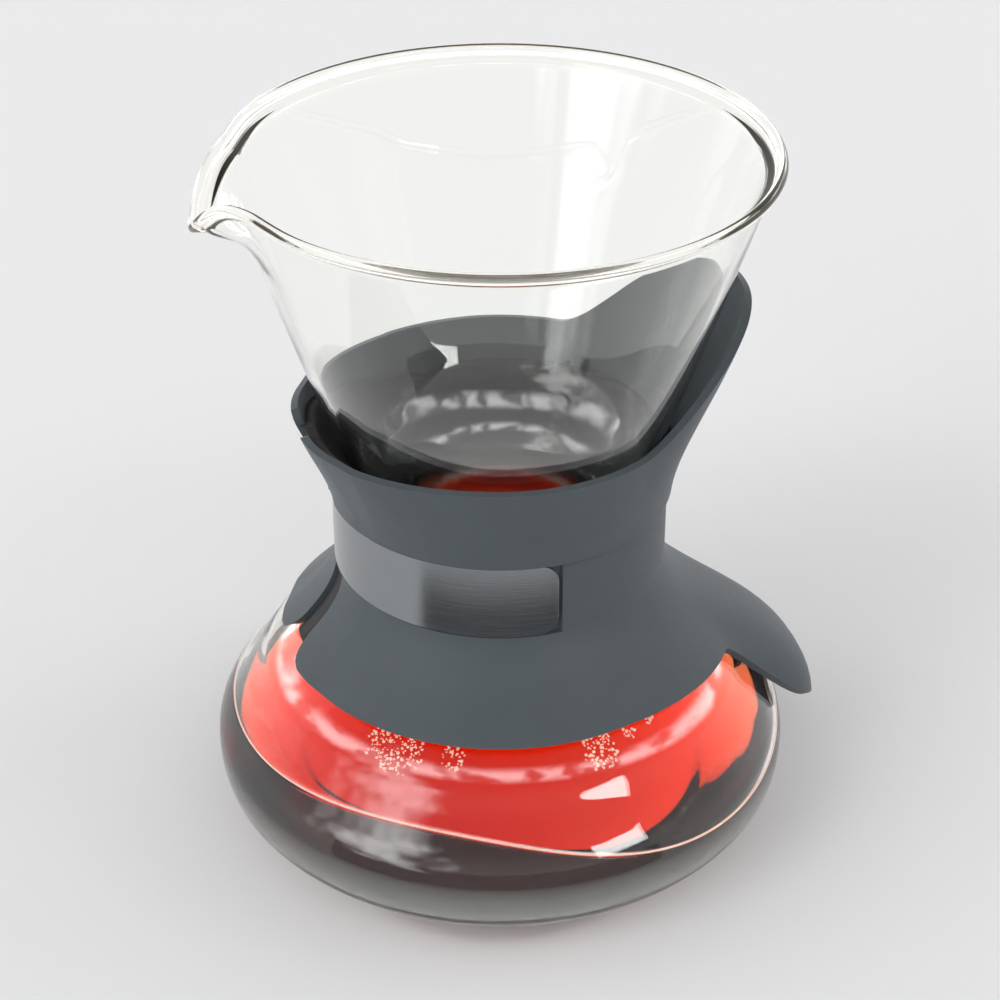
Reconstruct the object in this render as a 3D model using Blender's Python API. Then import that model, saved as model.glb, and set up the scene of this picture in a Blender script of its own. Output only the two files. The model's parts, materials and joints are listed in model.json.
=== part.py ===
"""Glass drip carafe: a one-piece waisted glass vessel with a soft grip round its waist.

Metres, +Z up, the vessel stands on Z = 0. Everything is symmetric about the XZ plane. The pouring
lip and the slit of the grip face -X, and the wing and the tail of the grip point along +X.
"""

import math

import bmesh
import bpy
from mathutils import Vector

MM = 0.001

# Vessel
vessel_height = 190 * MM
bowl_radius = 75.0 * MM
neck_radius = 25.0 * MM
rim_radius = 67.0 * MM
glass_wall = 2.2 * MM
floor_wall = 3.0 * MM
rim_thickening = 1.0 * MM
# Outer outline of the glass, upward. Each pair is a share for the radius, then one of vessel_height.
# foot: share of bowl_radius. belly: of the way from neck to bowl. cone: of the way from neck to rim.
foot_shares = (
    (0.56, 0.0), (0.653, 0.0030), (0.757, 0.0200), (0.842, 0.0390), (0.924, 0.0635), (0.984, 0.0950)
)
belly_shares = (
    (1.0, 0.1280), (0.988, 0.1580), (0.944, 0.1816), (0.878, 0.2053), (0.800, 0.2316), (0.736, 0.2560)
)
waist_shares = ((0.514, 0.3080), (0.268, 0.3570), (0.115, 0.4000), (0.028, 0.4340), (0.0, 0.4630))
throat_shares = ((0.012, 0.4880), (0.080, 0.5130), (0.203, 0.5416), (0.307, 0.5720), (0.398, 0.6240))
cone_shares = ((0.548, 0.7150), (0.790, 0.8800), (0.841, 0.9150), (0.889, 0.9480), (0.933, 0.9780))
# Rounded rim: shares of the way out and up on the outside, then of the width and up on the inside.
rim_outer_shares = ((0.55, 0.28), (1.0, 0.62), (0.80, 0.93))
rim_inner_shares = ((0.35, 1.0), (0.88, 0.80), (1.0, 0.40))

# Pouring lip: a crest drawn out and down, with a pinched ridge on either side of it.
lip_turn = math.pi
lip_half_angle = math.radians(19)
lip_soft_angle = math.radians(1.6)
lip_reach = 6.0 * MM
lip_reach_depth = 22.0 * MM
lip_drop = 10.6 * MM
lip_drop_depth = 21.0 * MM
lip_pinch = 0.5 * MM
lip_crest_power = 1.5
lip_ridge_share = 1.15
lip_ridge_spread_share = 0.42
lip_mesh_share = 1.6

# Clip
clip_wall = 1.2 * MM
clip_width = 19.6 * MM
clip_end_angle = math.radians(84.5)
clip_corner = 5.0 * MM
clip_end_play = math.radians(1.2)
pocket_depth = 1.3 * MM
pocket_end_slope = math.radians(0.4)

# Grip jacket. A gap is the room from the glass out to the jacket's outer face at that place.
fit_gap = 0.4 * MM
jacket_wall = 2.6 * MM
jacket_edge_wall = 1.9 * MM
jacket_edge_share = 0.4
waist_height_share = 0.4747
waist_gap = 11.0 * MM
step_proud = 1.2 * MM
skirt_drop = 22.2 * MM
skirt_gap = 5.4 * MM
flare_rise = 22.6 * MM
flare_gap = 3.3 * MM
ear_rise = 22.2 * MM
ear_gap = 8.5 * MM
wing_rise = 48.6 * MM
wing_gap = 9.7 * MM
tail_tip_rise = 0.7 * MM
tail_reach = 11.5 * MM
tail_half_angle = math.radians(25)
tail_power = 1.7
tail_root_angle = math.radians(75)
tail_root_share = 0.12
wing_half_angle = math.radians(56)
wing_power = 1.3
ear_start_share = 0.58
ear_spread_share = 0.36
slit_half_width = 4.0 * MM
slit_corner = 7.0 * MM
ear_corner = 3.0 * MM
# Each pair of shares leads a curve off its end: a share of its reach, then of its rise.
skirt_lead_shares = (0.05, 0.42)
skirt_end_shares = (0.34, 0.24)
tail_end_shares = (0.06, 0.52)
flare_lead_shares = (0.10, 0.34)
flare_end_shares = (0.30, 0.33)

# Liner
liner_foot_rise = 2.7 * MM
liner_top_rise = 12.1 * MM
liner_ear_drop = 2.2 * MM
liner_edge_wall = 1.8 * MM
liner_play = 0.6 * MM
spine_play = 0.8 * MM
spine_recess = 1.0 * MM

# Mesh fineness
coarse_angle = math.radians(7.5)
fine_angle = math.radians(3.8)
skirt_rows = 9
waist_rows = 3
flare_rows = 7
jacket_plain_degrees = (0, 3, 6, 9, 12, 15, 18, 21, 25, 30, 36, 42, 49, 57, 67)
jacket_pocket_degrees = (91, 100, 109, 118, 127, 136, 144, 151)
slit_column_distances = (14.0 * MM, 10.0 * MM, 7.0 * MM, 4.5 * MM, 2.5 * MM, 1.0 * MM, 0.0)
clip_turns = 24
clip_corner_shares = (0.0, 0.08, 0.25, 0.55, 1.0)
liner_foot_rows = 6
liner_top_rows = 5
liner_turns = 36


def clear_scene():
    """Start from an empty scene."""
    for obj in list(bpy.data.objects):
        bpy.data.objects.remove(obj, do_unlink=True)


def material(name, colour, roughness, metallic=0.0, transmission=0.0):
    """Principled material with plain values."""
    made = bpy.data.materials.new(name)
    made.use_nodes = True
    shader = made.node_tree.nodes["Principled BSDF"]
    shader.inputs["Base Color"].default_value = (*colour, 1.0)
    shader.inputs["Roughness"].default_value = roughness
    shader.inputs["Metallic"].default_value = metallic
    shader.inputs["Transmission Weight"].default_value = transmission
    return made


def clear_glass():
    return material("clear_glass", (0.95, 0.96, 0.95), 0.02, transmission=0.95)


def soft_grey():
    return material("soft_grey_plastic", (0.090, 0.105, 0.115), 0.62)


def black_rubber():
    return material("black_rubber", (0.012, 0.011, 0.012), 0.75)


def satin_steel():
    return material("satin_steel", (0.30, 0.33, 0.34), 0.28, metallic=1.0)


def smoothstep(value):
    held = min(max(value, 0.0), 1.0)
    return held * held * (3.0 - 2.0 * held)


def mix(start, end, share):
    return start + (end - start) * share


def bezier(start, lead, tail, end, rows):
    """Cubic curve between two 2-D points, as rows + 1 points."""
    path = []
    for row in range(rows + 1):
        t = row / rows
        s = 1 - t
        path.append(start * s**3 + 3 * lead * s * s * t + 3 * tail * s * t * t + end * t**3)
    return path


def offset_path(path, distance_of):
    """Move each point of an open 2-D path to its left by distance_of(share along the path)."""
    moved = []
    last = len(path) - 1
    for index, point in enumerate(path):
        along = path[min(index + 1, last)] - path[max(index - 1, 0)]
        side = Vector((-along.y, along.x)).normalized()
        moved.append(point + side * distance_of(index / last))
    return moved


def radius_at(path, height):
    """Radius of a rising 2-D path at a height."""
    for low, high in zip(path, path[1:]):
        if low.y <= height <= high.y:
            share = (height - low.y) / (high.y - low.y) if high.y > low.y else 0.0
            return mix(low.x, high.x, share)
    return path[-1].x if height > path[-1].y else path[0].x


def polar(radius, angle, height):
    return Vector((radius * math.cos(angle), radius * math.sin(angle), height))


def mesh_object(name, vertices, faces, look):
    """Closed mesh object with outward normals and smooth shading."""
    built = bmesh.new()
    points = [built.verts.new(vertex) for vertex in vertices]
    for face in faces:
        built.faces.new([points[index] for index in face])
    bmesh.ops.recalc_face_normals(built, faces=built.faces)
    for face in built.faces:
        face.smooth = True
    data = bpy.data.meshes.new(name)
    built.to_mesh(data)
    built.free()
    data.materials.append(look)
    obj = bpy.data.objects.new(name, data)
    bpy.context.scene.collection.objects.link(obj)
    return obj


def loop_columns(columns, closed):
    """Faces that join closed section loops, one per column, with strip caps when not closed."""
    count = len(columns[0])
    faces = []
    turns = len(columns) if closed else len(columns) - 1
    for turn in range(turns):
        here = turn * count
        there = ((turn + 1) % len(columns)) * count
        for row in range(count):
            after = (row + 1) % count
            faces.append((here + row, here + after, there + after, there + row))
    if not closed:
        half = count // 2
        for start in (0, turns * count):
            for row in range(half - 1):
                faces.append((start + row, start + row + 1, start + count - 2 - row, start + count - 1 - row))
    return [point for column in columns for point in column], faces


def glass_outline():
    """Outer outline of the glass, from the foot to below the rim."""
    lower = belly_shares + waist_shares
    points = [(share * bowl_radius, height) for share, height in foot_shares]
    points += [(mix(neck_radius, bowl_radius, share), height) for share, height in lower]
    points += [(mix(neck_radius, rim_radius, share), height) for share, height in throat_shares + cone_shares]
    return [Vector((radius, height * vessel_height)) for radius, height in points]


def glass_radius(height):
    """Outer radius of the glass at a height."""
    return radius_at(glass_outline(), height)


# Places of the grip on the glass
waist_height = vessel_height * waist_height_share
skirt_top = waist_height - clip_width / 2 - fit_gap
step_height = waist_height + clip_width / 2 + fit_gap
waist_radius = glass_radius(step_height) + waist_gap
step_radius = waist_radius + step_proud
skirt_edge_height = skirt_top - skirt_drop
skirt_edge_radius = glass_radius(skirt_edge_height) + skirt_gap
side_edge_height = step_height + flare_rise
side_edge_radius = glass_radius(side_edge_height) + flare_gap
ear_height = step_height + ear_rise
ear_radius = glass_radius(ear_height) + ear_gap
wing_tip_height = step_height + wing_rise
wing_tip_radius = glass_radius(wing_tip_height) + wing_gap
tail_tip_height = vessel_height * belly_shares[0][1] + tail_tip_rise
tail_tip_radius = bowl_radius + tail_reach
liner_foot_height = skirt_edge_height + liner_foot_rise
liner_top_height = step_height + liner_top_rise
liner_ear_height = ear_height - liner_ear_drop


def lip_crest(angle):
    """How far the pouring lip is drawn at an angle, and how far the rim beside it is pinched."""
    off = (angle - lip_turn + math.pi) % math.tau - math.pi
    side = (math.sqrt(off * off + lip_soft_angle**2) - lip_soft_angle) / lip_half_angle
    crest = max(0.0, 1.0 - side) ** lip_crest_power
    return crest, math.exp(-((side - lip_ridge_share) / lip_ridge_spread_share) ** 2)


def drawn_outline(path, angle):
    """The outer outline after the pouring lip has been drawn out and down at an angle."""
    crest, ridge = lip_crest(angle)
    drawn = []
    for point in path:
        below = vessel_height - point.y
        out = smoothstep(1.0 - below / lip_reach_depth) * (lip_reach * crest - lip_pinch * ridge)
        down = smoothstep(1.0 - below / lip_drop_depth) * lip_drop * crest * crest
        drawn.append(Vector((point.x + out, point.y - down)))
    return drawn


def rim_bead(plain_path, drawn_path):
    """Rounded rim on the end of the drawn outline, turned with it."""
    outward = rim_radius - plain_path[-1].x
    rise = vessel_height - plain_path[-1].y
    width = glass_wall + rim_thickening
    points = [Vector((outward * out, rise * up)) for out, up in rim_outer_shares]
    points += [Vector((outward - width * back, rise * up)) for back, up in rim_inner_shares]
    plain = plain_path[-1] - plain_path[-2]
    drawn = drawn_path[-1] - drawn_path[-2]
    turn = math.atan2(drawn.y, drawn.x) - math.atan2(plain.y, plain.x)
    sine = math.sin(turn)
    cosine = math.cos(turn)
    neck = drawn_path[-1]
    return [neck + Vector((cosine * p.x - sine * p.y, sine * p.x + cosine * p.y)) for p in points]


def glass_section(angle):
    """Section of the glass at an angle, from the underside over the rim to the floor inside."""
    path = glass_outline()
    outer = drawn_outline(path, angle)
    inner = offset_path(outer, lambda share: glass_wall)
    inner[0] = Vector((inner[0].x, floor_wall))
    for point in inner:
        point.y = max(point.y, floor_wall)
    return outer + rim_bead(path, outer) + inner[::-1]


def glass_angles():
    """Angles of the glass mesh, closer together across the lip."""
    near = lip_half_angle * lip_mesh_share
    fine_count = math.ceil(2 * near / fine_angle)
    coarse_count = math.ceil((math.tau - 2 * near) / coarse_angle)
    fine = [lip_turn - near + 2 * near * step / fine_count for step in range(fine_count)]
    rest = math.tau - 2 * near
    return fine + [lip_turn + near + rest * step / coarse_count for step in range(coarse_count)]


def carafe_glass():
    """One-piece glass: bowl, neck, cone, thick rim and pouring lip."""
    angles = glass_angles()
    sections = [glass_section(angle) for angle in angles]
    vertices = []
    for section, angle in zip(sections, angles):
        vertices += [polar(point.x, angle, point.y) for point in section]
    rings = len(sections[0])
    underside = len(vertices)
    vertices += [Vector((0.0, 0.0, 0.0)), Vector((0.0, 0.0, floor_wall))]
    faces = []
    for turn in range(len(sections)):
        here = turn * rings
        there = ((turn + 1) % len(sections)) * rings
        faces.append((underside, there, here))
        faces.append((underside + 1, here + rings - 1, there + rings - 1))
        for row in range(rings - 1):
            faces.append((here + row, there + row, there + row + 1, here + row + 1))
    return mesh_object("carafe_glass", vertices, faces, clear_glass())


def tail_share(angle):
    """How far the skirt is drawn out at an angle: a broad root that swells into a round tongue."""
    turn = min(abs(angle) / tail_half_angle, 1.0)
    tongue = 0.5 + 0.5 * math.cos(math.pi * turn**tail_power)
    root = smoothstep(1.0 - abs(angle) / tail_root_angle)
    return mix(tongue, root, tail_root_share)


def wing_share(angle):
    return smoothstep(1.0 - (abs(angle) / wing_half_angle) ** wing_power)


def ear_share(angle):
    return smoothstep((abs(angle) / math.pi - ear_start_share) / ear_spread_share)


def skirt_path(tail):
    """Outer path of the skirt, from its lower edge up to the waist, plain or drawn out into the tail."""
    waist = Vector((waist_radius, skirt_top))
    edge = Vector((skirt_edge_radius, skirt_edge_height))
    low = edge.lerp(Vector((tail_tip_radius, tail_tip_height)), tail)
    fall = waist.y - low.y
    reach = low.x - waist.x
    lead = Vector((waist.x + reach * skirt_lead_shares[0], waist.y - fall * skirt_lead_shares[1]))
    plain_end = Vector((low.x - reach * skirt_end_shares[0], low.y + fall * skirt_end_shares[1]))
    tail_end = Vector((low.x - reach * tail_end_shares[0], low.y + fall * tail_end_shares[1]))
    return bezier(low, plain_end.lerp(tail_end, tail), lead, waist, skirt_rows)


def flare_path(wing, ear):
    """Outer path above the clip, from the step up to the rim, plain or drawn out into wing or ear."""
    step = Vector((step_radius, step_height))
    plain = Vector((mix(side_edge_radius, ear_radius, ear), mix(side_edge_height, ear_height, ear)))
    high = plain.lerp(Vector((wing_tip_radius, wing_tip_height)), wing)
    rise = high.y - step.y
    reach = high.x - step.x
    lead = Vector((step.x + reach * flare_lead_shares[0], step.y + rise * flare_lead_shares[1]))
    end = Vector((high.x - reach * flare_end_shares[0], high.y - rise * flare_end_shares[1]))
    return bezier(step, lead, end, high, flare_rows)


def waist_path():
    """Outer path of the waist, without its ends."""
    heights = [mix(skirt_top, step_height, row / waist_rows) for row in range(1, waist_rows)]
    return [Vector((waist_radius, height)) for height in heights]


def jacket_wall_at(share):
    middle = 1.0 - abs(2.0 * share - 1.0)
    return mix(jacket_edge_wall, jacket_wall, smoothstep(middle / jacket_edge_share))


def jacket_column(angle, pocket):
    """Closed section loop of the jacket: outer path upward, then inner path downward."""
    skirt = skirt_path(tail_share(angle))
    waist = waist_path()
    flare = flare_path(wing_share(angle), ear_share(angle))
    inner = offset_path(skirt + waist + flare, jacket_wall_at)
    depth = pocket_depth if pocket else 0.0
    floor = waist_radius - depth
    shoulder = Vector((floor, skirt_top))
    ceiling = Vector((floor, step_height))
    outer = skirt + [shoulder] + [Vector((floor, point.y)) for point in waist] + [ceiling] + flare
    top = len(skirt) + len(waist)
    held = inner[:len(skirt)] + [inner[len(skirt) - 1] + Vector((0.0, fit_gap))]
    held += inner[len(skirt):top] + [inner[top] - Vector((0.0, fit_gap))] + inner[top:]
    return outer + held[::-1]


def corner_shift(distance, radius):
    """How far a rounded corner of the given radius stands back at a distance from its edge."""
    left = radius - min(max(distance, 0.0), radius)
    return radius - math.sqrt(radius**2 - left**2)


def slit_edge(height):
    """Half width of the slit in the jacket at a height, wider at its rounded corners."""
    low = corner_shift(height - skirt_edge_height, slit_corner)
    return slit_half_width + low + corner_shift(ear_height - height, ear_corner)


def jacket_columns():
    """Columns of one side of the jacket, from the tail to the slit, as points in space."""
    pocket_start = clip_end_angle - clip_end_play
    angles = [(math.radians(angle), False) for angle in jacket_plain_degrees]
    angles += [(pocket_start - pocket_end_slope, False), (pocket_start, True)]
    angles += [(math.radians(angle), True) for angle in jacket_pocket_degrees]
    columns = []
    for angle, pocket in angles:
        columns.append([polar(point.x, angle, point.y) for point in jacket_column(angle, pocket)])
    for back in slit_column_distances:
        section = jacket_column(math.pi - (slit_half_width + back) / waist_radius, True)
        column = []
        for point in section:
            rounding = slit_edge(point.y) - slit_half_width
            near = 1.0 - back / slit_column_distances[0]
            arc = slit_half_width + back + rounding * near
            column.append(polar(point.x, math.pi - arc / point.x, point.y))
        columns.append(column)
    return columns


def grip_jacket():
    """One open moulding: skirt with a tail, waist with the clip's pocket, flare with a wing."""
    half = jacket_columns()
    mirrored = [[Vector((point.x, -point.y, point.z)) for point in column] for column in half[:0:-1]]
    vertices, faces = loop_columns(mirrored + half, closed=False)
    return mesh_object("grip_jacket", vertices, faces, soft_grey())


def band_clip():
    """Open spring clip round the waist, with rounded ends."""
    inner_radius = waist_radius - pocket_depth + fit_gap
    outer_radius = inner_radius + clip_wall
    low = skirt_top + fit_gap
    high = step_height - fit_gap
    end = clip_end_angle
    corner = clip_corner / outer_radius
    turns = [corner * share for share in clip_corner_shares]
    span = math.tau - 2 * end - 2 * corner
    middle = [corner + span * step / clip_turns for step in range(1, clip_turns)]
    whole = math.tau - 2 * end
    offsets = turns + middle + [whole - turn for turn in reversed(turns)]
    columns = []
    for offset in offsets:
        near = min(offset, whole - offset)
        left = max(1.0 - near / corner, 0.0)
        cut = clip_corner * (1.0 - math.sqrt(1.0 - left**2))
        angle = end + offset
        heights = [low + cut, mix(low + cut, high - cut, 0.5), high - cut]
        outer = [polar(outer_radius, angle, height) for height in heights]
        inner = [polar(inner_radius, angle, height) for height in heights]
        columns.append(outer + inner[::-1])
    vertices, faces = loop_columns(columns, closed=False)
    return mesh_object("band_clip", vertices, faces, satin_steel())


def liner_heights(top):
    """Row heights of the liner, split at the clip's pocket."""
    below = skirt_top - fit_gap
    above = step_height + fit_gap
    heights = [mix(liner_foot_height, below, row / liner_foot_rows) for row in range(liner_foot_rows + 1)]
    heights += [mix(skirt_top, step_height, row / waist_rows) for row in range(waist_rows + 1)]
    return heights + [mix(above, top, row / liner_top_rows) for row in range(liner_top_rows + 1)]


def liner_loop(angle, spine):
    """Section loop of the liner at an angle. With spine set it also fills the slit in the jacket."""
    outside = skirt_path(0.0) + waist_path() + flare_path(wing_share(angle), ear_share(angle))
    glass_side = offset_path(glass_outline(), lambda share: -fit_gap)
    inside = offset_path(outside, lambda share: jacket_wall_at(share) + fit_gap)
    slit_side = offset_path(outside, lambda share: spine_recess)
    outer = []
    inner = []
    for height in liner_heights(mix(liner_top_height, liner_ear_height, ear_share(angle))):
        jacket_side = radius_at(inside, height)
        face = radius_at(slit_side, height) if spine else jacket_side
        if skirt_top <= height <= step_height:
            face = min(face, waist_radius - pocket_depth)
        outer.append(Vector((face, height)))
        near = radius_at(glass_side, height)
        if height > step_height:
            near = max(near, jacket_side - mix(jacket_side - near, liner_edge_wall, ear_share(angle)))
        inner.append(Vector((near, height)))
    return outer + inner[::-1]


def grip_liner():
    """Soft sleeve between glass and jacket, with a spine that shows in the slit."""
    columns = []
    for share in (-1.0, 0.0, 1.0):
        column = []
        for point in liner_loop(math.pi, True):
            half = (slit_half_width - spine_play) / point.x
            column.append(polar(point.x, math.pi + share * half, point.y))
        columns.append(column)
    for step in range(liner_turns + 1):
        share = 1.0 - 2.0 * step / liner_turns
        column = []
        for point in liner_loop(share * (math.pi - slit_half_width / waist_radius), False):
            half = (slit_half_width - liner_play) / point.x
            column.append(polar(point.x, -share * (math.pi - half), point.y))
        columns.append(column)
    vertices, faces = loop_columns(columns, closed=True)
    return mesh_object("grip_liner", vertices, faces, black_rubber())


clear_scene()
carafe_glass()
grip_liner()
grip_jacket()
band_clip()
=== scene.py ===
"""Looks of the glass drip carafe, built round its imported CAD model.

Metres, +Z up, the carafe stands on Z = 0. The pouring lip and the slit of the grip face -X, and the
wing and the tail of the grip point along +X.
"""

import json
import math
import random

import bmesh
import bpy
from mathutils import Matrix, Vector

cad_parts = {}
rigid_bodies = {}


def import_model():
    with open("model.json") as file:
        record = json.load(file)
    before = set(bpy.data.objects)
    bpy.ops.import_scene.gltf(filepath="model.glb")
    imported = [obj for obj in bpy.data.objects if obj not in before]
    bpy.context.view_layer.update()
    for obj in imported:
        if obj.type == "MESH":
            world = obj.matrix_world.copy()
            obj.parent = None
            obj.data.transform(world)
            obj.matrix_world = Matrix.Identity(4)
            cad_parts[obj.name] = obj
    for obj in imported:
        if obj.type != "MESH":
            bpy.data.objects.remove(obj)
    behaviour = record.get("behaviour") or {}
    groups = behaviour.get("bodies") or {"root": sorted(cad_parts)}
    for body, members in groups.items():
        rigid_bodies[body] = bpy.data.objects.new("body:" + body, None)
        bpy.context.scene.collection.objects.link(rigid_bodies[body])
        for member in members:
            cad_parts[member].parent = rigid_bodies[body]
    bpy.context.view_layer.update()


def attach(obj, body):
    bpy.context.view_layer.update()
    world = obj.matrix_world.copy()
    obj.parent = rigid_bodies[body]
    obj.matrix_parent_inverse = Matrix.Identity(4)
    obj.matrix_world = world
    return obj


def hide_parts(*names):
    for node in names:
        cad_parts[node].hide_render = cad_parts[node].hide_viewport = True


MM = 0.001

# Camera, at the photograph's angle
camera_turn = math.radians(14)
camera_fall = math.radians(31.86)
camera_distance = 517.9 * MM
camera_height = 415.12 * MM
camera_lens = 86.4
camera_sensor = 36

# Vessel. Each point of its outline is a share of the way out and a share of its height.
vessel_height = 190 * MM
bowl_radius = 75.0 * MM
neck_radius = 25.0 * MM
rim_radius = 67.0 * MM
glass_wall = 2.2 * MM
floor_wall = 3.0 * MM
rim_thickening = 0.5 * MM
foot_shares = (
    (0.56, 0.0),
    (0.653, 0.0030),
    (0.757, 0.0200),
    (0.842, 0.0390),
    (0.924, 0.0635),
    (0.984, 0.0950),
)
belly_shares = (
    (1.0, 0.1280),
    (0.988, 0.1580),
    (0.944, 0.1816),
    (0.878, 0.2053),
    (0.800, 0.2316),
    (0.736, 0.2560),
)
waist_shares = ((0.514, 0.3080), (0.268, 0.3570), (0.115, 0.4000), (0.028, 0.4340), (0.0, 0.4630))
throat_shares = ((0.012, 0.4880), (0.080, 0.5130), (0.203, 0.5416), (0.307, 0.5720), (0.398, 0.6240))
cone_shares = ((0.548, 0.7150), (0.790, 0.8800), (0.841, 0.9150), (0.889, 0.9480), (0.933, 0.9780))
rim_outer_shares = ((0.55, 0.28), (1.0, 0.62), (0.80, 0.93))
rim_inner_shares = ((0.35, 1.0), (0.88, 0.80), (1.0, 0.40))
glass_rows = 5
rim_mark_rows = 1
glass_foot_rows = 8
lip_columns = 64
glass_columns = 190

# Glass finish, with the warm tint and a warmer tint along its thick rim, where a faint olive glow is
# painted light.
# Here and below, a scale is in waves per metre and a density is per metre.
glass_tint = (0.99, 0.995, 0.99)
glass_ior = 1.47
glass_body_colour = (0.80, 0.83, 0.62)
glass_body_density = 16.0
ripple_scale = 36.0
ripple_detail = 1.0
ripple_height = 0.14 * MM
rim_tint = (0.99, 0.99, 0.98)
rim_painted_glow = (0.022, 0.018, 0.009)
rim_painted_glow_strength = 1.0

# Pouring lip
lip_turn = math.pi
lip_half_angle = math.radians(19)
lip_soft_angle = math.radians(1.6)
lip_reach = 6.0 * MM
lip_reach_depth = 22.0 * MM
lip_drop = 10.6 * MM
lip_drop_depth = 21.0 * MM
lip_pinch = 0.5 * MM
lip_crest_power = 1.5
lip_ridge_share = 1.15
lip_ridge_spread_share = 0.42
lip_mesh_share = 1.6

# Clip
clip_wall = 1.2 * MM
clip_width = 19.6 * MM
clip_end_angle = math.radians(84.5)
clip_corner = 5.0 * MM
clip_end_play = math.radians(1.2)
pocket_depth = 1.3 * MM
pocket_end_slope = math.radians(0.4)

# Grip jacket
fit_gap = 0.4 * MM
jacket_wall = 2.6 * MM
jacket_edge_wall = 1.9 * MM
jacket_edge_share = 0.4
waist_height_share = 0.4747
waist_gap = 11.0 * MM
step_proud = 1.2 * MM
skirt_drop = 22.2 * MM
skirt_gap = 5.4 * MM
flare_rise = 22.6 * MM
flare_gap = 3.3 * MM
ear_rise = 22.2 * MM
ear_gap = 8.5 * MM
wing_rise = 48.6 * MM
wing_gap = 9.7 * MM
tail_tip_rise = 0.7 * MM
tail_reach = 11.5 * MM
tail_half_angle = math.radians(25)
tail_power = 1.7
tail_root_angle = math.radians(75)
tail_root_share = 0.12
wing_half_angle = math.radians(56)
wing_power = 1.3
ear_start_share = 0.58
ear_spread_share = 0.36
slit_half_width = 4.0 * MM
slit_corner = 7.0 * MM
ear_corner = 3.0 * MM
slit_step_power = 1.5
skirt_lead_shares = (0.05, 0.42)
skirt_end_shares = (0.34, 0.24)
tail_end_shares = (0.06, 0.52)
flare_lead_shares = (0.10, 0.34)
flare_end_shares = (0.30, 0.33)

# Liner
liner_foot_rise = 2.7 * MM
liner_top_rise = 12.1 * MM
liner_ear_drop = 2.2 * MM
liner_edge_wall = 1.8 * MM
liner_play = 0.6 * MM
spine_play = 0.8 * MM
spine_recess = 1.0 * MM
spine_shares = (-1.0, -0.5, 0.0, 0.5, 1.0)

# Coffee. Each swirl term is a count of waves, a height and a turn from the side facing the camera.
coffee_level = 31.65 * MM
coffee_sink = 0.05 * MM
swirl_terms = (
    (1, 3.68 * MM, math.radians(-59.5)),
    (2, 2.25 * MM, math.radians(-29.5)),
    (3, 1.18 * MM, math.radians(-17.2)),
    (4, 0.84 * MM, math.radians(0.9)),
)
meniscus_rise = 1.0 * MM
meniscus_reach = 1.6 * MM
# A thin tube along the drink's edge carries the painted highlight of the meniscus.
line_radius = 0.28 * MM
line_sides = 8
coffee_rings = 40
coffee_ring_power = 0.6
coffee_rows = 36
coffee_columns = 180
coffee_tint = (1.0, 1.0, 1.0)
coffee_ior = 1.33
coffee_body_colour = (0.90, 0.54, 0.33)
coffee_body_density = 300.0

# Droplets on the wall above the drink. Each cluster: turn from the side facing the camera, height, half
# the turn and the height it covers, and its count.
droplet_clusters = (
    (math.radians(-34), 53.0 * MM, math.radians(1.6), 3.6 * MM, 30),
    (math.radians(-26), 52.0 * MM, math.radians(6.5), 4.6 * MM, 170),
    (math.radians(-12), 52.5 * MM, math.radians(3.0), 2.2 * MM, 40),
    (math.radians(26), 52.0 * MM, math.radians(4.6), 4.2 * MM, 120),
    (math.radians(36), 53.5 * MM, math.radians(2.0), 2.4 * MM, 30),
    (math.radians(43), 55.0 * MM, math.radians(2.6), 2.6 * MM, 45),
)
droplet_radii = (0.18 * MM, 0.50 * MM)
droplet_size_power = 2
droplet_seed = 5
# Pale finish of the droplets and of the drink's edge line. The edge line is a painted highlight of the
# meniscus, and the glow of both is painted light.
pale_and_highlight_colours = ((0.90, 0.42, 0.32), (0.95, 0.72, 0.62))
pale_mottle_scale = 900.0
pale_roughness = 0.25
pale_painted_glow_strength = 0.45

# Finish of the jacket and the liner
grip_colours = ((0.050, 0.062, 0.070), (0.061, 0.075, 0.083))
grip_mottle_scale = 90.0
grip_roughness = (0.52, 0.66)
grip_roughness_scale = 500.0
grip_specular = 0.35
grip_sheen = 0.12
grip_sheen_roughness = 0.5
grip_grain_scale = 2600.0
rubber_colours = ((0.010, 0.009, 0.010), (0.020, 0.018, 0.020))
rubber_mottle_scale = 200.0
rubber_roughness = 0.6
rubber_specular = 0.4
rubber_grain_scale = 1800.0
grain_detail = 2.0
grain_height = 0.05 * MM
grain_strength = 0.5

# Finish of the band, brushed along its length
steel_colours = ((0.26, 0.275, 0.285), (0.33, 0.345, 0.355))
steel_roughness = (0.16, 0.26)
brush_scale = 60.0
brush_detail = 4.0
brush_contrast = 0.7
brush_stretch = (1.0, 1.0, 60.0)
brush_height = 0.01 * MM

# Light all round: pale at the horizon, darker at the top, with a broken ring of light round an axis and an
# uneven bright patch at the left front. The ring's rise and fall are cosines from its axis, and the patch
# fades with the distance between unit vectors.
world_colour = (0.985, 0.985, 1.0)
horizon_light = 0.98
zenith_light = 0.16
ring_light = 5.4
ring_axis = (0.121, 0.419, 0.899)
ring_rise = (0.32, 0.42)
ring_fall = (0.45, 0.56)
ring_waves = (0.40, 0.58)
ring_gap_share = 0.1
side_light = 4.2
side_place = (-0.83, -0.45, 0.33)
side_fade = (0.05, 0.52)
side_unevenness = 0.45
wave_scale = 5.0
backdrop_light = 0.84

# Window that mirrors in the bowl
window_place = (163 * MM, -300 * MM, 148 * MM)
window_aim = (13 * MM, -67 * MM, 40 * MM)
window_size = (120 * MM, 65 * MM)
window_power = 0.24

# Card that darkens the band's reflection
flag_colour = (0.06, 0.068, 0.076)
flag_roughness = 0.9
flag_radius = 122 * MM
flag_angles = (math.radians(-150), math.radians(-60))
flag_heights = (10 * MM, 42 * MM)
flag_columns = 16

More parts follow.
